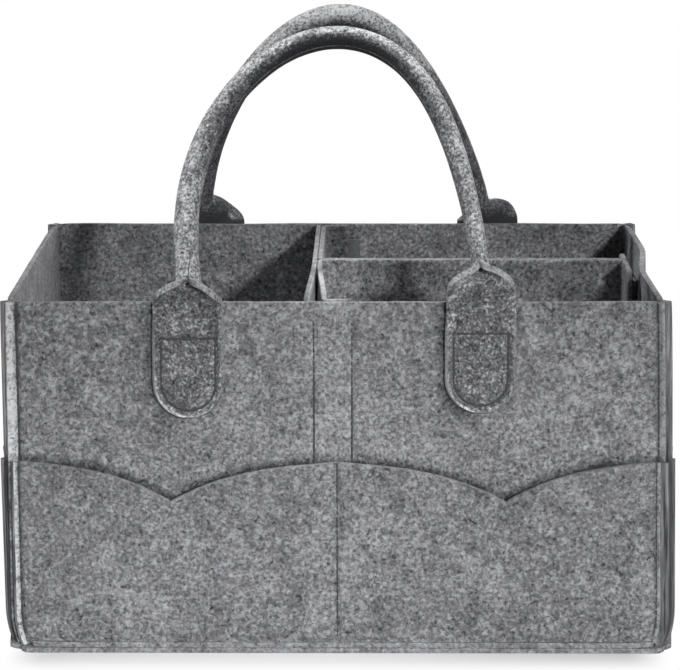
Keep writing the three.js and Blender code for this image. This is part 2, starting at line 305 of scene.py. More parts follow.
def gridFaces(rows, columns, closed=False, first=0):  # closed rows make a tube
    faces = []
    for start in range(first, first + (rows - 1) * columns, columns):
        for i in range(columns if closed else columns - 1):
            a, b = start + i, start + (i + 1) % columns
            faces.append((a, b, b + columns, a + columns))
    return faces


def feltSheet(name, grid, thickness, materials, press=None, zones=None, edgeRound=finish["edgeRound"]):
    rows, columns = grid.shape[:2]
    piece = meshObject(name, grid.reshape(-1, 3), gridFaces(rows, columns), materials)
    if zones is not None:  # material of each column of faces
        piece.data.polygons.foreach_set("material_index", np.tile(zones, rows - 1).astype(np.int32))
    thicken(piece, thickness, edgeRound, press)
    return piece


def thicken(piece, thickness, edgeRound, press=None):
    wall = piece.modifiers.new("thickness", "SOLIDIFY")
    if press is not None:  # share of the full thickness at each point
        group = piece.vertex_groups.new(name="press")
        for index, share in enumerate(np.asarray(press).ravel()):
            group.add([index], float(share), "REPLACE")
        wall.vertex_group = "press"
    wall.thickness = thickness * mm
    wall.offset = 0
    wall.use_quality_normals = True
    wall.use_even_offset = True
    wall.material_offset_rim = 1
    edge = piece.modifiers.new("edge", "BEVEL")
    edge.width = edgeRound * mm
    edge.segments = finish["edgeSegments"]
    edge.limit_method = "ANGLE"
    edge.angle_limit = math.radians(finish["edgeAngle"])
    bake(piece)
    smooth(piece)


def pointsOf(piece):
    points = np.empty(len(piece.data.vertices) * 3, np.float32)
    piece.data.vertices.foreach_get("co", points)
    return points.reshape(-1, 3).astype(float) / mm


def setPoints(piece, points):
    piece.data.vertices.foreach_set("co", (points * mm).astype(np.float32).ravel())
    piece.data.update()


def normalsOf(piece):
    normals = np.empty(len(piece.data.vertices) * 3, np.float32)
    piece.data.vertices.foreach_get("normal", normals)
    return normals.reshape(-1, 3)


def nearest(points, spots):  # index of the nearest spot to each point
    best = np.full(len(points), np.inf)
    index = np.zeros(len(points), int)
    for i, spot in enumerate(spots):
        away = ((points - spot) ** 2).sum(-1)
        closer = away < best
        best[closer] = away[closer]
        index[closer] = i
    return index


def runOf(line):  # length along a polyline at each of its points
    return np.concatenate([[0], np.cumsum(np.linalg.norm(np.diff(line, axis=0), axis=1))])


def pointsAt(line, run, places):
    return np.stack([np.interp(places, run, line[:, i]) for i in range(line.shape[1])], -1)


def along(points, step):  # a polyline resampled at even steps
    points = np.asarray(points, float)
    run = runOf(points)
    return pointsAt(points, run, np.linspace(0, run[-1], max(2, int(round(run[-1] / step)) + 1)))


def unit(vectors):
    return vectors / np.linalg.norm(vectors, axis=-1, keepdims=True)


def roundedLine(points, radius):  # a plan path with its bends rounded
    points = [np.array(p, float) for p in points]
    line = [points[0]]
    for before, here, after in zip(points, points[1:], points[2:]):
        d1, d2 = unit(before - here), unit(after - here)
        reach = min(radius, 0.45 * np.linalg.norm(before - here), 0.45 * np.linalg.norm(after - here))
        t = np.linspace(0, 1, 7)[:, None]
        line += list((1 - t) ** 2 * (here + d1 * reach) + 2 * t * (1 - t) * here + t ** 2 * (here + d2 * reach))
    return np.array(line + [points[-1]])


def shiftTone(piece, amounts):  # darker below 0 and paler above, at each point
    shift = piece.data.attributes.new("toneShift", "FLOAT", "POINT")
    shift.data.foreach_set("value", np.asarray(amounts, np.float32))


def besides(points, line, width):  # 1 on a line, falling to 0 within its width
    near = np.full(len(points), np.inf)
    for spot in along(line, 1.0):
        near = np.minimum(near, np.linalg.norm(points - spot, axis=1))
    return np.exp(-((near / width) ** 2))


def dent(piece, line, depth, width, outward):  # a sewn line pulls the felt in
    points = pointsOf(piece)
    pull = depth * besides(points, line, width)
    setPoints(piece, points - pull[:, None] * np.asarray(outward, float))


def wobble(grid, waves, seed):  # smooth waves, each with its size and height in mm and a step of the seed
    height = np.zeros(grid.shape[:2])
    for size, rise, step in waves:
        own = seed + step
        shift = Vector((own, own * 1.7, own * 0.3))
        rough = [noise.noise(Vector(point) / size + shift) for point in grid.reshape(-1, 3)]
        height += np.reshape(rough, height.shape) * rise
    return height


def unevenCut(places, size, seed, row):  # of a top edge, from -1 to 1
    return np.array([noise.noise(Vector((place / size, seed, row))) for place in places])


def ramp(value, low, high):  # 0 below low, 1 above high
    t = np.clip((value - low) / (high - low), 0, 1)
    return t * t * (3 - 2 * t)


def turned(points, quarterTurns):
    angle = quarterTurns * math.pi / 2
    c, s = round(math.cos(angle)), round(math.sin(angle))
    points = np.asarray(points, float)
    x, y = points[..., 0], points[..., 1]
    return np.stack([x * c - y * s, x * s + y * c, points[..., 2]], -1)


# The sewn box settles: its walls bow a little and its corners tuck in at the foot

settling = {
    "rightFlare": 5.0,  # mm that the right side stands out at the foot
    "leftBow": 3.2,
    "leftSquareness": 24,  # of the bow's outline
    "leftOut": 1.0,  # the raw edges past the left seams stand out
    "leftFlare": 1.2,  # and more so at the foot
    "rightBow": ((-112, 0.8), (-30, -1.4), (38, 3.9), (112, 1.2)),  # turning points from front to back
    "frontBow": 1.2,
    "panelTone": 0.02,  # the walls are a little paler than the pockets outside, and darker inside as painted shade
    "insideShade": -0.06,
    "tapeTone": 0.06,  # of the wall over a tape
    "tabShade": 0.4,  # painted shadow on the wall beside a tab, mostly on its left
    "tabReach": 4.4,
    "tuck": 4.0,
    "tuckHeight": 21,
    "tuckDepth": 0.7,  # of the tuck, on the front and back
    "bowReach": (30, 5),  # mm inside a face where its bow starts and is full
    "cornerReach": 24,
    "flareShape": 0.7,
    "waves": ((55.0, 0.5, 0), (14.0, 0.12, 5)),
    "wavesEnd": 14,  # mm before the fins
    "cut": (0.35, 40),  # height and size of the waves in a top edge
    "cutDepth": 30,  # mm below the edge that follow them
}


def swell(value, turningPoints):  # smooth waves from each turning point to the next
    places, heights = np.array(turningPoints).T
    step = np.clip(np.searchsorted(places, value) - 1, 0, len(places) - 2)
    share = ramp(value, places[step], places[step + 1])
    return heights[step] + (heights[step + 1] - heights[step]) * share


def settle(points, tuck=settling["tuck"]):
    form = settling
    points = np.array(points, float)
    x, y, z = points[..., 0].copy(), points[..., 1].copy(), points[..., 2]
    high = np.clip(z / rim, 0, 1)
    flare = (1 - high) ** form["flareShape"]
    start, full = form["bowReach"]
    onRight, onLeft = (ramp(hand * x, sideFace - start, sideFace - full) for hand in (1, -1))
    square = np.clip(y / frontFace, -1, 1) ** form["leftSquareness"]
    moveX = form["rightFlare"] * flare * np.clip(x / sideFace, 0, 1) ** 2
    moveX -= (form["leftOut"] + form["leftFlare"] * flare) * ramp(-x, sideFace - 1, sideFace + 2.5)
    moveX += onRight * swell(y, form["rightBow"]) * high ** 2
    moveX -= onLeft * form["leftBow"] * (1 - square) * high
    onFront = ramp(np.abs(y), frontFace - start, frontFace - full)
    mid = 1 - np.clip(x / sideFace, -1, 1) ** 2
    moveY = np.sign(y) * onFront * form["frontBow"] * mid * np.sin(np.pi * high)
    reach = form["cornerReach"]
    corner = ramp(np.abs(x), sideFace - reach, sideFace) * ramp(np.abs(y), frontFace - reach, frontFace)
    foot = np.clip(1 - z / form["tuckHeight"], 0, 1) ** 2 * tuck * corner
    points[..., 0] += moveX - np.sign(x) * foot
    points[..., 1] += moveY - np.sign(y) * foot * form["tuckDepth"]
    return points


# Walls and pockets: each side is drawn as the front and turned into place

corners = {
    "inset": 2.0,  # inner corner of a seam from the side's outer face
    "frontAngle": 25,  # how far the fins turn out from the front and back walls
    "length": 5.1,  # raw edge from the inner corner
    "panelOffset": 1.35,  # middle of a layer from the seam
    "pocketOffset": 4.1,
    "sideSplay": 0.2,  # extra gap between the side's layers
    "bend": (2.0, 5.0),  # radius where a fin leaves the flat of a front or back wall, and of a side wall
    "pressed": 0.9,  # of the flat felt
    "pressReach": (3, 2),  # mm before and past the bend
    "seamOut": 0.6,  # sewn line past the flat
    "groove": 1.7,  # depth of the sewn line
    "grooveWidth": 1.3,
    "grooveEnd": 0.4,  # furthest past the flat
    "threadDepth": 0.75,  # of the groove
    "grooveShade": 0.24,  # painted shade along it: how much darker the felt is there
    "leftInset": {"panel": -0.8, "pocket": -0.8},  # where the front and back seams by the left wall lie
    "rightInset": {"panel": 1.6, "pocket": 3.2},  # and those by the right wall
    "strip": {"panel": (9.0, 3.4), "pocket": (1.2, 1.8)},  # width that is pale past a seam by the left and right walls; by the left, paler as painted light
}
sides = {}
for number, name in enumerate(("front", "right", "back", "left")):
    facing = number % 2 == 0  # front and back
    corner = (sideFace - corners["inset"], frontFace - panelFelt)
    sides[name] = {
        "turn": number,
        "facing": facing,
        "outward": turned([0, -1, 0], number),
        "face": frontFace if facing else sideFace,
        "corner": corner if facing else corner[::-1],
        "notch": baseReach[0] / 2 if facing else 0,  # V of the pocket's edge from the middle of the side
        "angle": math.radians(corners["frontAngle"] if facing else 90 - corners["frontAngle"]),
        "bend": corners["bend"][number % 2],
        "splay": 0 if facing else corners["sideSplay"],
    }
wallFelts = [felt, feltEdge, finFelt, sideFelt, stackFelt, stackFelt]  # the rim of a face takes the next one
leftStrip, rightStrip, stackedEdges = 2, 3, 4


def layerLine(side, flatOut, finOut):  # half of a layer in plan, from the middle of the wall to the raw edge
    angle = side["angle"]
    d = np.array([math.cos(angle), -math.sin(angle)])
    n = np.array([-math.sin(angle), -math.cos(angle)])
    root = np.array([side["corner"][0], -side["corner"][1]]) + finOut * n
    start = (-flatOut - root[1]) / d[1]
    knee = root + start * d
    tip = root + corners["length"] * d
    reach = side["bend"] * math.tan(angle / 2)
    center = knee + np.array([-reach, -side["bend"]])
    turns = np.linspace(0, angle, 7)
    arc = center + side["bend"] * np.stack([np.sin(turns), np.cos(turns)], -1)
    return np.concatenate([[[0, -flatOut]], arc, [tip]])


wallMesh = {
    "spacing": 3.4,  # mm
    "least": 0.3,
    "finSteps": 5,
    "seamSteps": (-2.4, -1.6, -0.9, -0.4, 0, 0.4, 0.9, 1.6, 2.4),
    "panelRows": 58,
    "rimRows": (2.2, 0.9, 0),  # mm below the rim
    "pocketRows": 34,
    "footTurns": 6,
    "footRows": (0.35, 0.7, 1.0),  # of the way to the raw edge
}


def stations(line, seams):  # places along half a layer, finer at the bend, the fin and the seams
    run = runOf(line)
    flat = run[1]
    places = list(np.linspace(0, flat, int(flat / wallMesh["spacing"]) + 1)) + list(run[2:-1])
    places += list(np.linspace(run[-2], run[-1], wallMesh["finSteps"]))[1:]
    for seam in seams:
        places += [seam + step for step in wallMesh["seamSteps"]]
    places = sorted(p for p in places if 0 <= p <= run[-1])
    kept = [places[0]]
    for place in places[1:]:
        if place - kept[-1] > wallMesh["least"]:
            kept.append(place)
    return np.array(kept), run


def wallGrid(side, flatOut, finOut, heights, seams, seed):
    line = layerLine(side, flatOut, finOut)
    half, run = stations(line, [abs(seam) for seam in seams])
    places = np.concatenate([-half[:0:-1], half])
    x, y = pointsAt(line, run, np.abs(places)).T
    z = heights(places, run[1])
    grid = np.stack([np.broadcast_to(x * np.sign(places), z.shape), np.broadcast_to(y, z.shape), z], -1)
    flat = 1 - ramp(np.abs(places), run[1] - settling["wavesEnd"], run[1])
    grid[..., 1] -= wobble(grid, settling["waves"], seed) * flat
    return grid, places, run


def finSeams(side, kind, run):  # sewn lines beside the left and right fins, from the middle of the side
    edge = run[1] + corners["seamOut"]
    if not side["facing"]:
        return -edge, edge
    left, right = (edge - corners[wall][kind] for wall in ("leftInset", "rightInset"))
    return (-left, right) if side["turn"] == 0 else (-right, left)


def gripSeams(side, kind):  # where a seam by the right wall crosses the flat of a side
    return [side["corner"][0] - corners["rightInset"][kind] + corners["seamOut"]] if side["facing"] else []


def finZones(side, kind, places, run):  # fluffed columns past the seams, and stacked edges past those
    middles = (places[1:] + places[:-1]) / 2
    zones = np.zeros(len(middles), int)
    for seam in finSeams(side, kind, run):
        past = middles * np.sign(seam) - abs(seam)
        byRight = int(abs(seam) < run[1] - corners["seamOut"])
        zones[past > 0] = rightStrip if byRight else leftStrip
        zones[past > (corners["strip"][kind][byRight] if side["facing"] else 0)] = stackedEdges
    return zones


def wallSheet(name, kind, grid, places, run, footRows=0):  # its sewn fins and its foot are pressed thinner
    side = sides[name]
    before, past = corners["pressReach"]
    press = 1 - (1 - corners["pressed"]) * ramp(np.abs(places), run[1] - before, run[1] + past)
    press = np.tile(press, (len(grid), 1))
    press[len(grid) - footRows:] = np.minimum(press[len(grid) - footRows:], pocketForm["footPressed"])
    return feltSheet(f"{name}_{kind}_felt", settle(turned(grid, side["turn"])), panelFelt, wallFelts, press,
                     finZones(side, kind, places, run))


seamGroove = {"depth": 1.2, "width": 1.5, "sunk": 1.0}  # mm, with the thread below the face
panelSeams = {name: [] for name in sides}
cornerSeams = {name: [] for name in sides}
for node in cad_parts:
    if "_tape_" in node and node.endswith("_seam"):
        name = node.split("_")[0]
        panelSeams[name].append(turned(sum(boxOf(node)) / 2, -sides[name]["turn"])[0])


def declareSheet(piece, node, flat, body="shell"):
    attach(piece, body)
    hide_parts(node)
    flat[0] * mm
    flat[1] * mm


def sewnLine(side, x, face, low, high, step):  # an upright seam on a side
    return settle(turned(along([[x, -face, low], [x, -face, high]], step), side["turn"]))


def sinkSeam(piece, side, x, face, low, high):
    line = sewnLine(side, x, face, low, high, 2.0)
    dent(piece, line, seamGroove["depth"], seamGroove["width"], side["outward"])


def sinkCorners(piece, name, kind, run, face, low, high):  # the sewn lines beside the fins, and their painted shade
    side = sides[name]
    shade = np.zeros(len(piece.data.vertices))
    reach = run[1] + corners["grooveEnd"]
    for x in np.clip(finSeams(side, kind, run), -reach, reach):
        line = sewnLine(side, x, face, low, high, 3.0)
        shade -= corners["grooveShade"] * besides(pointsOf(piece), line, corners["grooveWidth"])
        dent(piece, line, corners["groove"], corners["grooveWidth"], side["outward"])
        cornerSeams[name].append(line[1:-1] - side["outward"] * corners["groove"] * corners["threadDepth"])
    return shade


def tabAway(points, middle, bottom, radius):  # distance outside a tab with a round lower end
    below = np.minimum(points[:, 2] - bottom - radius, 0)
    return np.hypot(points[:, 0] - middle, below) - radius


def panelTone(piece, name, run):  # tones of a wall, paler outside and over a tape, with painted shade inside it, in the pocket mouths and beside the tabs
    side = sides[name]
    points = turned(pointsOf(piece), -side["turn"])
    above = points[:, 2] - pocketTop + scallopDrop(points[:, 0], run[1], side["notch"])
    outside = points[:, 1] < panelFelt / 2 - side["face"]
    # painted shade on the wall in and just above a pocket's mouth
    mouth = outside * (1 - ramp(above, -1.0, pocketForm["mouthReach"]))
    # inside faces take painted shade
    tone = np.where(outside, settling["panelTone"], settling["insideShade"])
    if panelSeams[name]:
        first, last = min(panelSeams[name]), max(panelSeams[name])
        tone += outside * settling["tapeTone"] * ((points[:, 0] > first) & (points[:, 0] < last))
    # painted shadow on the wall left of each tab
    for hand in ("left", "right") if side["facing"] else ():
        tab = [turned(end, -side["turn"]) for end in boxOf(f"{name}_handle_{hand}_tab")]
        low, high = np.sort(tab, axis=0)
        middle, radius = (low[0] + high[0]) / 2, (high[0] - low[0]) / 2
        beside = np.maximum(tabAway(points, middle, low[2], radius), 0) / settling["tabReach"]
        lefthand = ramp(middle - points[:, 0], -0.5 * radius, radius)
        tone -= outside * settling["tabShade"] * np.exp(-beside ** 2) * lefthand
    return tone - pocketForm["mouthShade"] * mouth


def makePanel(name, seed):
    side = sides[name]
    levels = np.concatenate([np.linspace(floorTop, rim - 4, wallMesh["panelRows"]),
                             [rim - drop for drop in wallMesh["rimRows"]]])
    cutHeight, cutSize = settling["cut"]

    def heights(places, flat):
        edge = cutHeight * unevenCut(places, cutSize, seed, 0)
        return levels[:, None] + edge[None, :] * ramp(levels, rim - settling["cutDepth"], rim)[:, None]

    grid, places, run = wallGrid(side, side["face"] - panelFelt / 2, corners["panelOffset"], heights,
                                 panelSeams[name] + gripSeams(side, "panel"), seed)
    piece = wallSheet(name, "panel", grid, places, run)
    shade = sinkCorners(piece, name, "panel", run, side["face"], pocketTop - 2, rim)
    for seam in panelSeams[name]:
        low, high = boxOf(f"{name}_loop_tape")
        sinkSeam(piece, side, seam, side["face"], low[2] + 2, high[2] - 2)
    shiftTone(piece, shade + panelTone(piece, name, run))
    size = (2 * run[-1], rim - floorTop)
    declareSheet(piece, f"{name}_panel", size)


baseForm = {
    "notch": (7.4, 8.0),  # cut away at the fins
    "draw": (2.4, 24),  # how much, and from how far, the left and right edges draw in beside them
    "bevel": 0.8,  # how deep the notch's slanted corner lies in it
    "rounding": 4.0,
    "rings": 26,
    "hole": 0.04,  # innermost ring, closed by one face
    "thickness": 2.8,
}
pocketForm = {
    "notchDepth": 19.5,
    "steepness": 0.4,  # where the two end tangents of a scallop meet
    "foot": 4.5,  # middle of the turned foot above the surface
    "footBend": 2.4,
    "footSpread": 1.025,  # the feet reach a little past the sewn corners
    "footPressed": 0.87,
    "gap": 0.2,  # from the wall
    "lip": 3.6,  # extra slack at the open edge
    "bulge": (0.12, 0.92),  # where a pocket's height starts and ends on half a wave
    "held": (26, 16),  # mm from a fin, and from the middle seam, over which the slack grows
    "footEnd": (7, 0.5),  # mm before a fin where the turned foot runs out
    "footLine": (0.5, 1.0),  # depth and width of the crease over it
    "mouthShade": 0.5,  # painted shade in the mouth: how much darker the felt is there
    "mouthReach": 4.0,  # mm above the open edge
}


def scallopDrop(places, half, notch):  # how far the open edge falls below its highest line
    away = np.abs(places) - notch
    length = np.where(away > 0, half - notch, max(notch, 1))
    share = np.clip(1 - np.abs(away) / length, 0, 1)
    bend = 2 * (1 - pocketForm["steepness"])
    curve = 1 - bend
    t = (bend - np.sqrt(np.maximum(bend * bend + 4 * curve * share, 0))) / (-2 * curve)
    return pocketForm["notchDepth"] * np.clip(t, 0, 1) ** 2


for number, sideName in enumerate(sides):
    makePanel(sideName, 11 + 7 * number)
print("wall panels made")


def footProfile(footOut):  # how far out and down each row of the turned foot lies
    radius = pocketForm["footBend"]
    turns = np.linspace(0, math.pi / 2, wallMesh["footTurns"])[1:]
    bend = [(radius * (1 - math.cos(turn)), radius * math.sin(turn)) for turn in turns]
    return bend + [(radius + step * (footOut - radius), radius) for step in wallMesh["footRows"]]


def makePocket(name, seed):
    side, form = sides[name], pocketForm
    notch, face = side["notch"], side["face"] + panelFelt
    knee = form["foot"] + form["footBend"]
    footOut = baseReach[1 if side["facing"] else 0] - side["face"] - panelFelt / 2 - form["gap"]
    share = np.linspace(1, 0, wallMesh["pocketRows"])[:, None]  # rows from the open edge to the knee

    def heights(places, flat):
        return knee + (pocketTop - scallopDrop(places, flat, notch) - knee)[None, :] * share

    seams = ([0, notch] if notch else [0]) + gripSeams(side, "pocket")
    grid, places, run = wallGrid(side, side["face"] + panelFelt / 2 + form["gap"],
                                 corners["pocketOffset"] + side["splay"], heights, seams, seed)
    flat, away = run[1], np.abs(places)
    byFin, bySeam = form["held"]
    held = np.minimum(ramp(flat - away, 0, byFin), ramp(away, 0, bySeam) if notch else 1)
    bottom, top = form["bulge"]
    bulge = pocketSlack * np.sin(np.pi * (bottom + (top - bottom) * share)) + form["lip"] * share ** 3
    grid[..., 1] -= bulge * held[None, :]
    footing = 1 - ramp(away, *(flat - end for end in form["footEnd"]))
    draw, drawFrom = (0, 1) if side["facing"] else baseForm["draw"]
    drawn = 1 - draw / footOut * ramp(away, flat - drawFrom, flat - 5)
    profile = footProfile(footOut)
    rows = [grid]
    for out, down in profile:
        row = grid[-1].copy()
        straight = knee - (knee - floorTop) * (out + down) / (footOut + form["footBend"])
        row[:, 2] = footing * (knee - down) + (1 - footing) * straight
        row[:, 1] -= footing * out * drawn
        row[:, 0] *= 1 + (form["footSpread"] - 1) * footing * out / footOut
        rows.append(row[None])
    piece = wallSheet(name, "pocket", np.concatenate(rows), places, run, len(profile))
    shiftTone(piece, sinkCorners(piece, name, "pocket", run, face, floorTop + 4, pocketTop))
    footLine = along([[end, -face - 1.0, knee - 0.6] for end in (-flat, flat)], 3.0)
    slanting = turned([0, -0.7, 0.7], side["turn"])
    dent(piece, settle(turned(footLine, side["turn"])), *form["footLine"], slanting)
    if notch:
        sinkSeam(piece, side, 0, pocketFace - pocketSlack, knee + 3, pocketTop)
    size = (2 * run[-1], pocketTop - knee + footOut + form["footBend"])
    declareSheet(piece, f"{name}_pocket", size)


for number, sideName in enumerate(sides):
    makePocket(sideName, 43 + 5 * number)
print("pockets made")


# Base
def baseOutline():  # a rectangle with its corners cut away at the fins
    x, y = baseReach
    cutX, cutY = baseForm["notch"]
    draw, drawFrom = baseForm["draw"]
    corner = [(x, -y + cutY + drawFrom), (x - draw, -y + cutY)]
    bevel = baseForm["bevel"]
    corner += [(x - bevel * cutX, -y + bevel * cutY), (x - cutX, -y)]
    loop = corner[::-1] + [(px, -py) for px, py in corner]
    loop += [(-px, -py) for px, py in corner[::-1]] + [(-px, py) for px, py in corner]
    start = (0, -y)
    line = roundedLine([start, *loop, start], baseForm["rounding"])
    return along(np.column_stack([line, np.zeros(len(line))]), 3.0)[:-1]


def makeBase():
    outline = baseOutline()
    shares = np.linspace(baseForm["hole"], 1, baseForm["rings"])
    rings = shares[:, None, None] * outline[None]
    rings[..., 2] = panelFelt
    count = len(outline)
    faces = [tuple(range(count))]
    faces += [(b, a, d, c) for a, b, c, d in gridFaces(len(shares), count, True)]
    thickness = baseForm["thickness"]
    piece = meshObject("base_panel_felt", settle(rings.reshape(-1, 3), 0) * [1, 1, 0] + [0, 0, thickness / 2],
                       faces, [felt, feltEdge])
    thicken(piece, thickness, finish["edgeRound"])
    declareSheet(piece, "base_panel", tuple(2 * baseReach))


makeBase()
print("base made")


# Handles: one strip each, sewn flat at both ends and rolled round a rope between them

handleForm = {
    "tubeWidth": 29.4,  # of the strip where it is rolled
    "closed": 0.995,  # of a full turn
    "lean": 26.5,  # degrees inward
    "rise": 133,
    "hingeRise": 6,
    "sleeveStart": 9,
    "seamTurn": 65,  # degrees that the roll's seam turns toward the inside of the loop
    "tabShade": -0.09,  # the tabs are darker, the roll is paler
    "tabEdgeAndHighlight": 0.34,  # pale cut edge of a tab with a painted highlight on its left and lower side, and its width
    "tabEdgeWidth": 2.2,
    "rollShade": 0.12,
    "hollowShade": -0.26,  # painted shade between the rolled shoulders of a neck
    "domeShade": -0.8,  # painted shade on the inner face of the back tabs
    "legShade": -0.35,  # painted shade on the inner side of the back handle's legs
    "waves": ((11.0, 0.22, 0), (4.0, 0.10, 3)),
    "leanEnd": 16,  # mm above the rim where the strip leans fully
    "levelRows": (4, 30),  # mm above the rim where the level rows of a straight neck start and end to tilt
    "seamRise": (8, 45),  # mm above the rim where the roll's seam starts and ends to turn
    "centred": (0.25, 0.9),  # share of a roll from which, and to which, it moves onto the middle line
    "rolled": (0.5, 0.95),  # share from which, and to which, a roll counts as a tube
    "brushed": (-6, 16),  # mm from the rim between the tones of tab and roll
    "topFacing": (-0.3, 0.5),  # outward part of a normal that takes the painted highlight on top of the arch
    "undersideFacing": (-0.35, 0.75),  # inward part of one that takes the painted shade under the arch
    # how sharply the arch's painted highlight and shade fall off away from its level top
    "archShadeShape": 1.5,
    "hollow": (9, 5),  # half width and half height of a neck's hollow, mm
    "legEnd": (60, 110),  # mm above the rim where the tone of the legs fades
    "legFacing": (-0.1, 0.4),
    "edgeRound": 1.1,
}
handleMesh = {"arch": 160, "neck": 14, "tip": 20, "tab": 72, "roll": 170, "columns": 41, "tabTop": 24}
# each handle's last two values paint a highlight on the top of its arch and shade under it
handles = {
    "front": {"turn": 0, "facing": 1, "span": 145, "taper": -0.09, "sway": -4.7, "shift": (-1.6, -0.8),
              "squeeze": (1.0, 0.97, 0.92, 0.84, 0.62), "lift": (0, 2.6), "close": (11, 19), "flatTo": (0, 4),
              "slope": (0, 0), "topHighlight": 0.09, "undersideShade": -1.05},
    "back": {"turn": 2, "facing": -1, "span": 160, "taper": 0.2, "sway": -2.8, "shift": (-3, -7),
             "squeeze": (0.85, 0.9, 0.92, 0.95, 0.95), "lift": (0, 0), "close": (11, 17), "flatTo": (0, 0),
             "slope": (0, 1), "topHighlight": 0.24, "undersideShade": -0.5},
}
tabLow, tabHigh = boxOf("front_handle_left_tab")
tabWidth = tabHigh[0] - tabLow[0]
tabDrop = rim - tabLow[2]
tabMiddle = -(tabLow[1] + tabHigh[1]) / 2  # distance of a tab's middle layer in front of the middle
tabFace = -tabLow[1]


def archPoints(handle):
    form = handleForm
    start = math.asin(form["sleeveStart"] / form["rise"])
    angle = np.linspace(start, math.pi - start, handleMesh["arch"])
    height = np.sin(angle)
    half = handle["span"] / 2 * (1 - handle["taper"] * height)
    x = handle["facing"] * handle["sway"] * np.sin(np.pi * height) - half * np.cos(angle)
    up = height * form["rise"]
    lean = math.radians(form["lean"])
    return np.stack([x, -tabMiddle + up * math.sin(lean), rim + form["hingeRise"] + up * math.cos(lean)], -1)


def neckPoints(foot, top, tangent):
    reach = np.linalg.norm(top - foot) / 3
    a, b = foot + [0, 0, reach], top - tangent * reach
    t = np.linspace(0, 1, handleMesh["neck"])[:, None]
    return foot * (1 - t) ** 3 + 3 * a * t * (1 - t) ** 2 + 3 * b * t ** 2 * (1 - t) + top * t ** 3


def tabPlace(handle, end):
    return (end - 0.5) * handle["span"] + handle["shift"][end]


def stripLine(handle):  # middle line of the whole strip, left tab to right tab
    arch = archPoints(handle)
    ends = []
    for end, lift in enumerate(handle["lift"]):
        run = arch if end == 0 else arch[::-1]
        tangent = (run[1] - run[0]) / np.linalg.norm(run[1] - run[0])
        x = tabPlace(handle, end)
        foot = np.array([x, -tabMiddle, rim + 1])
        bottom = np.array([x, -tabMiddle, rim - tabDrop + lift])
        ends.append(np.concatenate([along([bottom, foot], 2.0)[:-1], neckPoints(foot, run[0], tangent)[:-1]]))
    return np.concatenate([ends[0], arch, ends[1][::-1]])


def stripRows(length):  # stations along the strip, fine at the tabs and necks
    radius = tabWidth / 2
    tip = radius * (1 - np.cos(np.linspace(0.14, math.pi / 2, handleMesh["tip"])))
    tab = np.linspace(radius, tabDrop + handleMesh["tabTop"], handleMesh["tab"])[1:]
    half = np.concatenate([tip, tab])
    middle = np.linspace(half[-1], length - half[-1], handleMesh["roll"])[1:-1]
    return np.concatenate([half, middle, length - half[::-1]])


def neckCurl(share, slope):  # roll of the strip that gives a neck round shoulders, or straight ones at slope 1
    curls = np.linspace(0.001, 1, 200)
    half = np.minimum(math.pi * curls, math.pi / 2)
    widths = tabWidth + (handleForm["tubeWidth"] - tabWidth) * curls
    reach = widths / (2 * math.pi * curls) * np.sin(half) + panelFelt / 2 * np.minimum(2 * curls, 1) ** 2
    rise = ramp(share ** 1.2, 0, 1) * (1 - slope) + share * slope
    target = reach[-1] + (reach[0] - reach[-1]) * (1 - rise)
    return np.interp(-target, -reach, curls)


def stripFrames(handle):  # stations along the strip, with its directions and its roll there
    form = handleForm
    line = along(stripLine(handle), 0.5)
    run = runOf(line)
    length = run[-1]
    s = stripRows(length)
    ahead, behind = (pointsAt(line, run, np.clip(s + step, 0, length)) for step in (2, -2))
    tangent = unit(ahead - behind)
    leftHalf = s < length / 2
    perEnd = ("lift", "flatTo", "close", "slope")
    lift, flatTo, close, slope = (np.where(leftHalf, *handle[key]) for key in perEnd)
    fromEnd = np.minimum(s, length - s)
    aboveRim = fromEnd - (tabDrop - lift)
    lean = math.radians(form["lean"])
    tilt = ramp(aboveRim, 0, form["leanEnd"])[:, None]
    facing = np.array([0, -1, 0]) * (1 - tilt) + np.array([0, -math.cos(lean), math.sin(lean)]) * tilt
    facing = unit(facing - (facing * tangent).sum(-1, keepdims=True) * tangent)
    across = np.cross(tangent, facing)  # toward the inside of the loop
    leveled = (slope * (1 - ramp(aboveRim, *form["levelRows"])))[:, None]
    across = unit(across * (1 - leveled) + np.sign(across[:, :1]) * [1, 0, 0] * leveled)
    share = np.clip((aboveRim - flatTo) / (close - flatTo), 0, 1)
    return {
        "length": length, "center": pointsAt(line, run, s), "fromEnd": fromEnd, "aboveRim": aboveRim,
        "tangent": tangent, "facing": facing, "across": across, "curl": form["closed"] * neckCurl(share, slope),
        "squeeze": np.interp(s / length, np.linspace(0.17, 0.83, 5), handle["squeeze"]),
    }


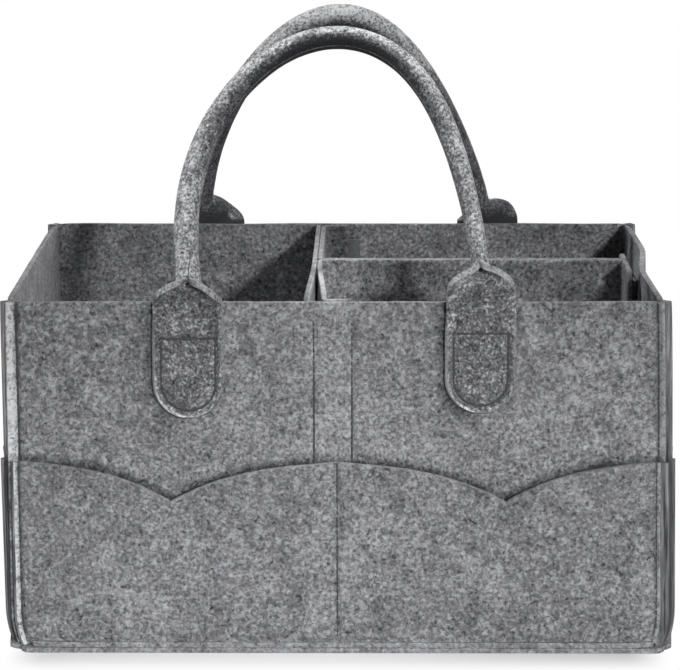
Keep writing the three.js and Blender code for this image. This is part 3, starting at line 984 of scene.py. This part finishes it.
def rolledStrip(strip, seed):  # middle layer of the strip, flat at the tabs and a tube between them
    form = handleForm
    fromEnd, curl = strip["fromEnd"], strip["curl"]
    across, facing = strip["across"][:, None], strip["facing"][:, None]
    radius = tabWidth / 2
    tip = np.minimum(fromEnd, radius)
    endWidth = 2 * np.sqrt(np.maximum(radius ** 2 - (radius - tip) ** 2, 0))
    rolledWidth = tabWidth + (form["tubeWidth"] - tabWidth) * curl / form["closed"]
    width = np.where(fromEnd < radius, endWidth, rolledWidth)
    bend = np.maximum(2 * math.pi * curl / width, 1e-5)[:, None]
    turn = bend * width[:, None] * np.linspace(-0.5, 0.5, handleMesh["columns"])[None, :]
    sideways = np.sin(turn) / bend
    forward = (1 - np.cos(turn)) / bend
    forward -= (1 / bend) * ramp(curl, *form["centred"])[:, None]
    rolled = ramp(curl, *form["rolled"])[:, None]
    narrow = 1 + (strip["squeeze"][:, None] - 1) * rolled
    spin = math.radians(form["seamTurn"]) * ramp(strip["aboveRim"], *form["seamRise"])[:, None]
    sideTurn = (sideways * np.cos(spin) + forward * np.sin(spin) * rolled) * narrow
    outTurn = (forward * np.cos(spin) - sideways * np.sin(spin) * rolled) * (2 - narrow) ** 0.5
    grid = strip["center"][:, None] + across * sideTurn[..., None] + facing * outTurn[..., None]
    outDirection = unit(across * np.sin(turn)[..., None] - facing * np.cos(turn)[..., None])
    return grid + outDirection * (wobble(grid, form["waves"], seed) * rolled)[..., None]


def handleTone(piece, name, strip):  # tones of a handle: darker tabs with pale, partly highlighted edges, a paler roll, and painted light and shade on the arch, in the necks' hollows, on the back tabs and on the back legs
    handle, form = handles[name], handleForm
    points, normals = (turned(values, -handle["turn"]) for values in (pointsOf(piece), normalsOf(piece)))
    x, y, z = points.T
    rolledUp = ramp(z, *(rim + height for height in form["brushed"]))
    row = nearest(points, strip["center"])
    level = np.abs(strip["tangent"][row, 0]) ** form["archShadeShape"]  # 1 where the handle runs level
    inward = (normals * strip["across"][row]).sum(-1)
    # painted highlight on top of the arch and painted shade under it, where the handle runs level
    paintedShadeAndTone = handle["topHighlight"] * ramp(-inward, *form["topFacing"])
    paintedShadeAndTone += handle["undersideShade"] * ramp(inward, *form["undersideFacing"])
    tone = form["tabShade"] * (1 - rolledUp) + (form["rollShade"] + level * paintedShadeAndTone) * rolledUp
    radius, edgeWidth = tabWidth / 2, form["tabEdgeWidth"]
    hollowWide, hollowHigh = form["hollow"]
    for end, lift in enumerate(handle["lift"]):
        middle, bottom = tabPlace(handle, end), rim - tabDrop + lift
        # painted shade in each neck's hollow
        hollow = np.hypot((x - middle) / hollowWide, (z - rim - hollowHigh) / hollowHigh)
        tone += form["hollowShade"] * np.exp(-hollow ** 2) * (y < -tabMiddle + 1.5)
        # painted highlight, strongest on the left and lower side of a tab's pale edge
        lit = 0.25 + 0.75 * ramp((middle - x) * 0.8 + (bottom + radius - z) * 0.6, -4, radius)
        lit *= (1 - ramp(z, rim - 8, rim)) * (np.abs(x - middle) < radius + 4)
        inside = -tabAway(points, middle, bottom, radius)
        tone += form["tabEdgeAndHighlight"] * lit * (1 - ramp(inside, 0.4 * edgeWidth, edgeWidth))
    # painted shade on the back tabs' inner faces and the back legs' inner sides
    if name == "back":
        tone += form["domeShade"] * (y > -tabMiddle) * (1 - rolledUp)
        legs = rolledUp * (1 - ramp(z, *(rim + height for height in form["legEnd"])))
        tone += form["legShade"] * legs * ramp(normals[:, 1], *form["legFacing"])
    return tone


def makeHandle(name, seed):
    handle = handles[name]
    strip = stripFrames(handle)
    grid = rolledStrip(strip, seed)
    for end, lift in enumerate(handle["lift"]):
        grid = grid + tabCurl(grid, tabPlace(handle, end), lift)
    piece = feltSheet(f"{name}_handle_felt", turned(grid, handle["turn"]), panelFelt, [handleFelt, handleEdge],
                      edgeRound=handleForm["edgeRound"])
    for end, lift in enumerate(handle["lift"]):
        path = turned(tabStitchPath(tabPlace(handle, end), lift), handle["turn"])
        dent(piece, path, tabSeam["groove"], tabSeam["grooveWidth"], sides[name]["outward"])
    shiftTone(piece, handleTone(piece, name, strip))
    lean = math.radians(handleForm["lean"])
    flip = np.array([1, handle["facing"], 1])
    end = np.array([0, -tabMiddle + 7 * math.sin(lean), rim + 19]) * flip * mm
    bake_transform(piece)
    nodes = [f"{name}_handle_sleeve"]
    nodes += [f"{name}_handle_{hand}_{part}" for hand in ("left", "right") for part in ("tab", "neck")]
    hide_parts(*nodes)
    strip["length"] * mm


tabSeam = {
    "inset": 3.6,  # mm inside the edge of a tab
    "drop": 18,  # below the rim
    "groove": 1.1,
    "grooveWidth": 1.2,
    "sunk": 0.7,
    "curl": 2.2,  # of the edge outside the seam
    "curlEnd": (16, 2),  # mm below the rim where it starts and ends to lie flat
}


def tabCurl(grid, x, lift):  # how far the free edge of a tab stands off the wall
    radius = tabWidth / 2
    middle = rim - tabDrop + radius + lift
    away = np.hypot(grid[..., 0] - x, np.minimum(grid[..., 2] - middle, 0))
    rise = tabSeam["curl"] * ramp(away, radius - tabSeam["inset"], radius + 0.5) * (away < radius + 2)
    rise = rise * (1 - ramp(grid[..., 2], *(rim - drop for drop in tabSeam["curlEnd"])))
    return rise[..., None] * np.array([0, -1, 0])


def tabStitchPath(x, lift):  # the D of stitches, on the tab's outer face
    radius = tabWidth / 2 - tabSeam["inset"]
    middle = rim - tabDrop + tabWidth / 2 + lift
    top = rim - tabSeam["drop"] + lift
    arc = [(x - radius * math.cos(t), middle - radius * math.sin(t)) for t in np.linspace(0, math.pi, 24)]
    line = [(x + radius, top), (x - radius, top), *arc, (x + radius, top)]
    return np.array([(px, -tabFace, pz) for px, pz in line])


for number, handleName in enumerate(handles):
    makeHandle(handleName, 71 + 9 * number)
print("handles made")


# Rope inside each roll

ropeForm = {"strands": 3, "strand": 1.55, "reach": 1.4, "lay": 15, "step": 1.2, "trim": 14, "corners": 8}


def makeRope(name):
    form = ropeForm
    handle = handles[name]
    line = along(archPoints(handle), form["step"])
    trim = round(form["trim"] / form["step"])
    line = line[trim:-trim]
    tangent = unit(np.gradient(line, axis=0))
    lean = math.radians(handleForm["lean"])
    facing = np.array([0, -math.cos(lean), math.sin(lean)])
    facing = unit(facing - (tangent @ facing)[:, None] * tangent)
    across = np.cross(tangent, facing)
    count, ends = len(line), form["corners"]
    around = np.linspace(0, 2 * math.pi, ends, endpoint=False)
    points, faces = [], []
    for strand in range(form["strands"]):
        turn = 2 * math.pi * (np.arange(count) * form["step"] / form["lay"] + strand / form["strands"])
        center = line + form["reach"] * (facing * np.cos(turn)[:, None] + across * np.sin(turn)[:, None])
        ring = facing[:, None] * np.cos(around)[None, :, None] + across[:, None] * np.sin(around)[None, :, None]
        first = len(points)
        points += list((center[:, None] + form["strand"] * ring).reshape(-1, 3))
        faces += gridFaces(count, ends, True, first)
        faces.append(tuple(first + i for i in range(ends))[::-1])
        faces.append(tuple(first + (count - 1) * ends + i for i in range(ends)))
    piece = meshObject(f"{name}_handle_rope", turned(points, handle["turn"]), faces, [rope])
    smooth(piece, finish["cordSharpAngle"])
    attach(piece, f"{name}_handle")
    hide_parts(f"{name}_handle_core")


for handleName in handles:
    makeRope(handleName)
print("ropes made")


# Divider insert: a straight strip and two bent ones, sewn back to back

insertForm = {
    "felt": 2.5,
    "bend": 2.6,
    "leftFlare": 2.2,  # front end of the straight strip away from the seam
    "rightFlare": {"front": 4.2, "back": 0},
    "flareDepth": 30,  # mm below the rim where the ends start to spread
    "sideFlange": -2.2,  # from the frame's flange
    "sideFlangeWidth": 32,
    "backFlangeDrop": 10,  # the free corner of the back flange is cut away
    "endFlangeWidth": 14,
    "crossShade": -0.15,  # painted shade on the faces of the cross part
    "wedgeLight": 0.4,  # painted light on the facing sides where the ends spread
    "tipHighlight": 0.4,  # painted highlight on the rim of the right layer towards the front
    "cut": (0.25, 35),  # height and size of the waves in a top edge
    "cutDepth": 20,  # mm below the edge that follow them
    "flangeCut": (2, 17),  # mm from the free corner where the cut of the back flange starts and ends to rise
    "spreadEnd": 20,  # mm right of the middle; the cross part starts there
    "crossReach": (8, 14),
    "nearSeam": 5,
    "wedgeReach": (5, 40),  # mm in front of the middle
    "tipReach": (24, 36),
    "innerFacing": (0.3, 0.8),
    "spacing": 3.4,
    "rows": 44,
    "rimRows": (2, 0.8, 0),  # mm below the rim
}


def stripSheet(name, plan, seed, flare, drop=0):
    form = insertForm
    run = runOf(plan)
    places = [0.0]
    for a, b in zip(run, run[1:]):
        places += list(np.linspace(a, b, max(2, int((b - a) / form["spacing"]) + 1)))[1:]
    x, y = pointsAt(plan, run, places).T
    levels = np.concatenate([np.linspace(floorTop, rim - 4, form["rows"]),
                             [rim - down for down in form["rimRows"]]])[:, None]
    z = levels + form["cut"][0] * unevenCut(places, form["cut"][1], seed, 1)[None, :]
    z = np.where(levels > rim - form["cutDepth"], z, levels)
    lower = drop * (1 - ramp(np.array(places), *form["flangeCut"]))  # the flange that starts the strip
    z = floorTop + (z - floorTop) * (1 - lower / (rim - floorTop))[None, :]
    grid = np.stack([np.broadcast_to(x, z.shape), np.broadcast_to(y, z.shape), z], -1)
    spread = ramp(-grid[..., 1] / frontFace, 0, 1) * (grid[..., 0] < form["spreadEnd"])
    grid[..., 0] += flare * spread * ramp(z, rim - form["flareDepth"], rim)
    piece = feltSheet(f"divider_{name}_felt", grid, form["felt"], [dividerFelt, dividerEdge])
    x, y, z = pointsOf(piece).T
    inner = ramp(normalsOf(piece)[:, 0] * -np.sign(flare), *form["innerFacing"])  # between the spread ends
    near, top = x < form["nearSeam"], z > rim - 1
    # painted light in the spread wedge, painted shade on the cross part, painted highlight on the front of the
    # right layer's rim
    tone = form["wedgeLight"] * ramp(-y, *form["wedgeReach"]) * near * inner
    tone += form["crossShade"] * ramp(x, *form["crossReach"]) * (z < rim - 1)
    if flare > 0:
        tone += form["tipHighlight"] * ramp(-y, *form["tipReach"]) * top * near
    shiftTone(piece, tone)
    declareSheet(piece, f"divider_{name}_strip", (run[-1], rim - floorTop),
                 "divider")


def makeInsert():
    half = insertForm["felt"] / 2
    low, high = boxOf("divider_straight_strip")
    leftX = high[0] - half
    line = np.array([(leftX, high[1]), (leftX, -high[1])])
    stripSheet("straight", line, 3, -insertForm["leftFlare"])
    for name, toward in (("front", -1), ("back", 1)):
        low, high = boxOf(f"divider_{name}_strip")
        wallX = high[0] - half
        layerX = low[0] + half
        wallY = (low[1] if toward < 0 else high[1]) - toward * half
        crossY = (high[1] if toward < 0 else low[1]) + toward * half
        sideX, sideY = wallX + insertForm["sideFlange"], crossY + toward * insertForm["sideFlangeWidth"]
        corner = [(sideX, sideY), (sideX, crossY), (layerX, crossY), (layerX, wallY)]
        corner.append((layerX + insertForm["endFlangeWidth"], wallY))
        drop = insertForm["backFlangeDrop"] if name == "back" else 0
        line = roundedLine(corner, insertForm["bend"])
        stripSheet(name, line, 5 + toward, insertForm["rightFlare"][name], drop)


makeInsert()
print("divider insert made")


# Stitches: one arched thread at each point of a resampled line

stitchForm = {"pitch": 3.4, "length": 3.0, "thread": 0.42, "tabThread": 0.58, "rise": 0.35, "seed": 7}


def stitchTree():
    tree = bpy.data.node_groups.new("stitchRow", "GeometryNodeTree")
    board = Board(tree)
    kinds = {"Geometry": "Geometry", "Pitch": "Float", "Length": "Float", "Thread": "Float", "Rise": "Float",
             "Outward": "Vector", "Seed": "Int", "Material": "Material"}
    inputs = {}
    for name, kind in kinds.items():
        socket = tree.interface.new_socket(name, in_out="INPUT", socket_type="NodeSocket" + kind)
        inputs[name] = socket.identifier
    tree.interface.new_socket("Geometry", in_out="OUTPUT", socket_type="NodeSocketGeometry")
    source = tree.nodes.new("NodeGroupInput")
    given = {name: Wire(board, source.outputs[name]) for name in kinds}
    curve = board.node("GeometryNodeMeshToCurve", None, {"Mesh": given["Geometry"]})
    sockets = {"Curve": curve, "Length": given["Pitch"]}
    spaced = board.node("GeometryNodeResampleCurve", {"mode": "LENGTH"}, sockets)
    halfLength = given["Length"] * 0.5
    dip = given["Rise"] * -1.0
    start = board.node("ShaderNodeCombineXYZ", None, {"X": halfLength * -1.0, "Z": dip})
    middle = board.node("ShaderNodeCombineXYZ", None, {"Z": given["Rise"] * 2.0})
    end = board.node("ShaderNodeCombineXYZ", None, {"X": halfLength, "Z": dip})
    sockets = {"Resolution": 6, "Start": start, "Middle": middle, "End": end}
    bow = board.node("GeometryNodeCurveQuadraticBezier", None, sockets)
    ring = board.node("GeometryNodeCurvePrimitiveCircle", None, {"Resolution": 6, "Radius": given["Thread"]})
    sockets = {"Curve": bow, "Profile Curve": ring, "Fill Caps": True}
    stitch = board.node("GeometryNodeCurveToMesh", None, sockets)
    tangent = board.node("GeometryNodeInputTangent")
    facing = board.node("FunctionNodeAlignRotationToVector", {"axis": "X"}, {"Vector": tangent})
    facing = board.node("FunctionNodeAlignRotationToVector", {"axis": "Z", "pivot_axis": "X"},
                        {"Rotation": facing, "Vector": given["Outward"]})
    sockets = {2: 0.92, 3: 1.08, "Seed": given["Seed"]}  # least and most of a stitch's size
    scale = board.node("FunctionNodeRandomValue", {"data_type": "FLOAT"}, sockets, 1)
    sockets = {"Points": spaced, "Instance": stitch, "Rotation": facing, "Scale": scale}
    row = board.node("GeometryNodeInstanceOnPoints", None, sockets)
    real = board.node("GeometryNodeRealizeInstances", None, {"Geometry": row})
    dressed = board.node("GeometryNodeSetMaterial", None, {"Geometry": real, "Material": given["Material"]})
    board.node("NodeGroupOutput", None, {"Geometry": dressed})
    return tree, inputs


stitchRow, stitchInputs = stitchTree()


def sew(name, lines, outward, node=None, width="thread"):
    points, edges = [], []
    for line in lines:
        first = len(points)
        points += list(line)
        edges += [(first + i, first + i + 1) for i in range(len(line) - 1)]
    piece = meshObject(name, np.array(points), [], [thread], edges)
    row = piece.modifiers.new("stitches", "NODES")
    row.node_group = stitchRow
    values = {"Pitch": stitchForm["pitch"] * mm, "Length": stitchForm["length"] * mm,
              "Thread": stitchForm[width] * mm, "Rise": stitchForm["rise"] * mm,
              "Outward": tuple(outward), "Seed": stitchForm["seed"], "Material": thread}
    for key, value in values.items():
        row[stitchInputs[key]] = value
    bake(piece)
    smooth(piece, finish["cordSharpAngle"])
    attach(piece, "shell")
    if node:
        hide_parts(node)


def sewAll():
    for name, handle in handles.items():
        for end, lift in enumerate(handle["lift"]):
            hand = ("left", "right")[end] if name == "front" else ("right", "left")[end]
            path = tabStitchPath(tabPlace(handle, end), lift) + [0, tabSeam["sunk"], 0]
            node = f"{name}_handle_{hand}_stitching"
            sew(node.replace("stitching", "stitches"), [turned(path, handle["turn"])], sides[name]["outward"],
                node=node, width="tabThread")
    for node in [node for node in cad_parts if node.endswith("_seam")]:
        side = sides[node.split("_")[0]]
        low, high = (turned(corner, -side["turn"]) for corner in boxOf(node))
        face = side["face"] + (panelFelt + pocketForm["gap"] if "pocket" in node else 0) - seamGroove["sunk"]
        line = sewnLine(side, (low[0] + high[0]) / 2, face, low[2], high[2], 3.0)
        sew(node.replace("seam", "stitches"), [line], side["outward"], node=node)
    for name, lines in cornerSeams.items():
        sew(f"{name}_corner_stitches", lines, sides[name]["outward"])


sewAll()
print("stitches sewn")


# Pieces of the frame that keep their shape

for node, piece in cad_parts.items():
    if node.endswith("tape"):
        piece.data.materials.clear()
        piece.data.materials.append(tape)
print("frame pieces finished")


# Floor, backdrop and lamps

studio = {
    "floorSize": 12.0,  # m
    "floorSeen": 0.86,  # paper as the camera sees it
    "floorBounce": 0.15,  # paper as it lights the felt
    "paperX": (0.146, 0.170),  # m from the middle: shadows show up to the first, plain white past the second
    "paperY": (0.117, 0.147),
    "veil": 0.35,  # white over the shadows
    "world": 0.03,
}
lamps = {
    "key": {"kind": "SPOT", "place": (1.603, -4.554, 1.42), "aim": (0, -0.1, -0.55), "size": 0.45, "power": 890,
            "cone": 18.5, "edge": 0.05},
    "low": {"kind": "SPOT", "place": (-2.0, -3.0, 0.12), "aim": (0, -0.1, -0.25), "size": 0.4, "power": 120,
            "cone": 15.5, "edge": 0.2},
    "top": {"kind": "SPOT", "place": (0.35, -0.45, 2.6), "aim": (-0.005, -0.025, 0.23), "size": 0.22,
            "power": 370, "cone": 5.0, "edge": 0.4},
    "left": {"kind": "SPOT", "place": (-1.6, -0.02, 1.1), "aim": (0.13, 0, 0.14), "size": 0.2, "power": 110,
             "cone": 7.0, "edge": 0.3},
    "side": {"kind": "SPOT", "place": (-1.4, 0.15, 0.12), "aim": (-0.17, 0, 0.09), "size": 0.3, "power": 25,
             "cone": 16.0, "edge": 0.3},
    "back": {"kind": "AREA", "place": (0.6, 2.6, 0.9), "aim": (0, 0, 0.1), "size": 1.6, "power": 45},
}


def seenRay(board):  # 1 for rays that show the surface, 0 for those that only light others
    kinds = ("Camera", "Glossy", "Transmission")
    rays = [board.node("ShaderNodeLightPath", None, None, f"Is {kind} Ray") for kind in kinds]
    return board.maths("MINIMUM", rays[0] + rays[1] + rays[2], 1.0)


def makeFloor():
    half = studio["floorSize"] / 2 / mm
    floor = meshObject("floor", [(-half, -half, 0), (half, -half, 0), (half, half, 0), (-half, half, 0)],
                       [(0, 1, 2, 3)], [])
    material, board = newMaterial("white_floor")
    seen = seenRay(board)
    shade = seen * (studio["floorSeen"] - studio["floorBounce"]) + studio["floorBounce"]
    tone = board.node("ShaderNodeCombineXYZ", None, {"X": shade, "Y": shade, "Z": shade})
    paper = board.node("ShaderNodeBsdfDiffuse", None, {"Color": tone})
    white = board.node("ShaderNodeEmission", None, {"Color": (1, 1, 1, 1), "Strength": 1.0})
    place = board.node("ShaderNodeTexCoord", None, None, "Object")
    near = 1 - studio["veil"]
    for axis in ("X", "Y"):
        away = abs(board.node("ShaderNodeSeparateXYZ", None, {"Vector": place}, axis))
        near = board.fade(away, *studio["paper" + axis]) * near
    plain = seen * (1 - near)
    mixed = board.node("ShaderNodeMixShader", None, {0: plain, 1: paper, 2: white})
    board.node("ShaderNodeOutputMaterial", None, {"Surface": mixed})
    floor.data.materials.append(material)


def makeBackdrop():
    world = bpy.data.worlds.new("studio")
    bpy.context.scene.world = world
    world.use_nodes = True
    world.node_tree.nodes.clear()
    board = Board(world.node_tree)
    ray = seenRay(board)
    soft = board.node("ShaderNodeBackground", None, {"Color": (1, 1, 1, 1), "Strength": studio["world"]})
    bright = board.node("ShaderNodeBackground", None, {"Color": (1, 1, 1, 1), "Strength": 1.0})
    shown = board.node("ShaderNodeMixShader", None, {0: ray, 1: soft, 2: bright})
    board.node("ShaderNodeOutputWorld", None, {"Surface": shown})


def makeLamps():
    for name, lamp in lamps.items():
        light = bpy.data.lights.new(name, lamp["kind"])
        light.energy = lamp["power"]
        if lamp["kind"] == "SPOT":
            light.shadow_soft_size = lamp["size"] / 2
            light.spot_size = math.radians(lamp["cone"])
            light.spot_blend = lamp["edge"]
        else:
            light.shape = "DISK"
            light.size = lamp["size"]
        holder = bpy.data.objects.new(name, light)
        bpy.context.scene.collection.objects.link(holder)
        holder.location = lamp["place"]
        toward = Vector(lamp["place"]) - Vector(lamp["aim"])
        holder.rotation_euler = toward.to_track_quat("Z", "Y").to_euler()


makeFloor()
makeBackdrop()
makeLamps()
bpy.context.scene.view_settings.view_transform = "Standard"
print("stage lit")
